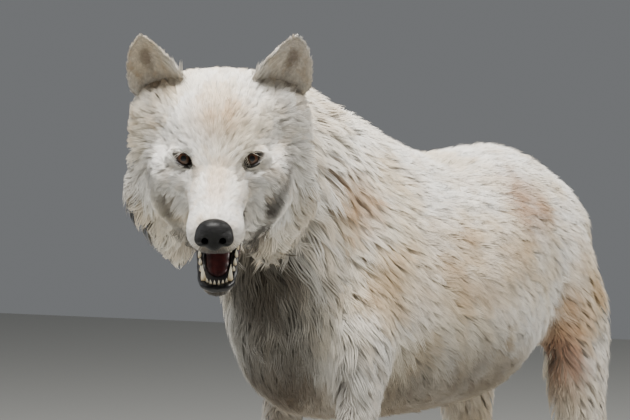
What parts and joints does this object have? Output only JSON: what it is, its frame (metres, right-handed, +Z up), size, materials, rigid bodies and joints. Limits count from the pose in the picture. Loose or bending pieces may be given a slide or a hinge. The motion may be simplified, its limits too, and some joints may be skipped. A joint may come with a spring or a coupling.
{
  "type": "arctic wolf",
  "caption": "Standing arctic wolf, life size, white winter coat, head turned to its left and mouth a little open; a still museum-type model on its own four paws.",
  "frame": {"origin": "middle of the whole wolf's box, on the floor that the paws stand on", "axes": "+Z up, -Y the way the trunk faces, +X the wolf's left side"},
  "size_m": [0.2796, 1.2154, 0.8504],
  "materials": {
    "coat": "dense white winter fur, cream and grey-brown in places",
    "ear": "short warm-white fur, grey-brown inside",
    "eye": "wet, amber-brown iris with a black pupil",
    "nose": "moist black pebbled leather",
    "lip": "smooth black skin of lips and eyelids, moist",
    "tongue": "moist dark pink, fine grain",
    "tooth": "glossy ivory enamel",
    "claw": "satin dark horn, paler at the tip",
    "pad": "rough dark paw pad"
  },
  "bodies": {
    "root": {"ear_left": "ear", "ear_right": "ear", "eye_left": "eye", "eye_right": "eye", "head": "coat", "jaw": "coat", "leg_fore_left": "coat", "leg_fore_right": "coat", "leg_hind_left": "coat", "leg_hind_right": "coat", "neck": "coat", "nose": "nose", "paw_fore_left": "coat", "paw_fore_right": "coat", "paw_hind_left": "coat", "paw_hind_right": "coat", "tail": "coat", "tongue": "tongue", "trunk": "coat"}
  },
  "joints": []
}
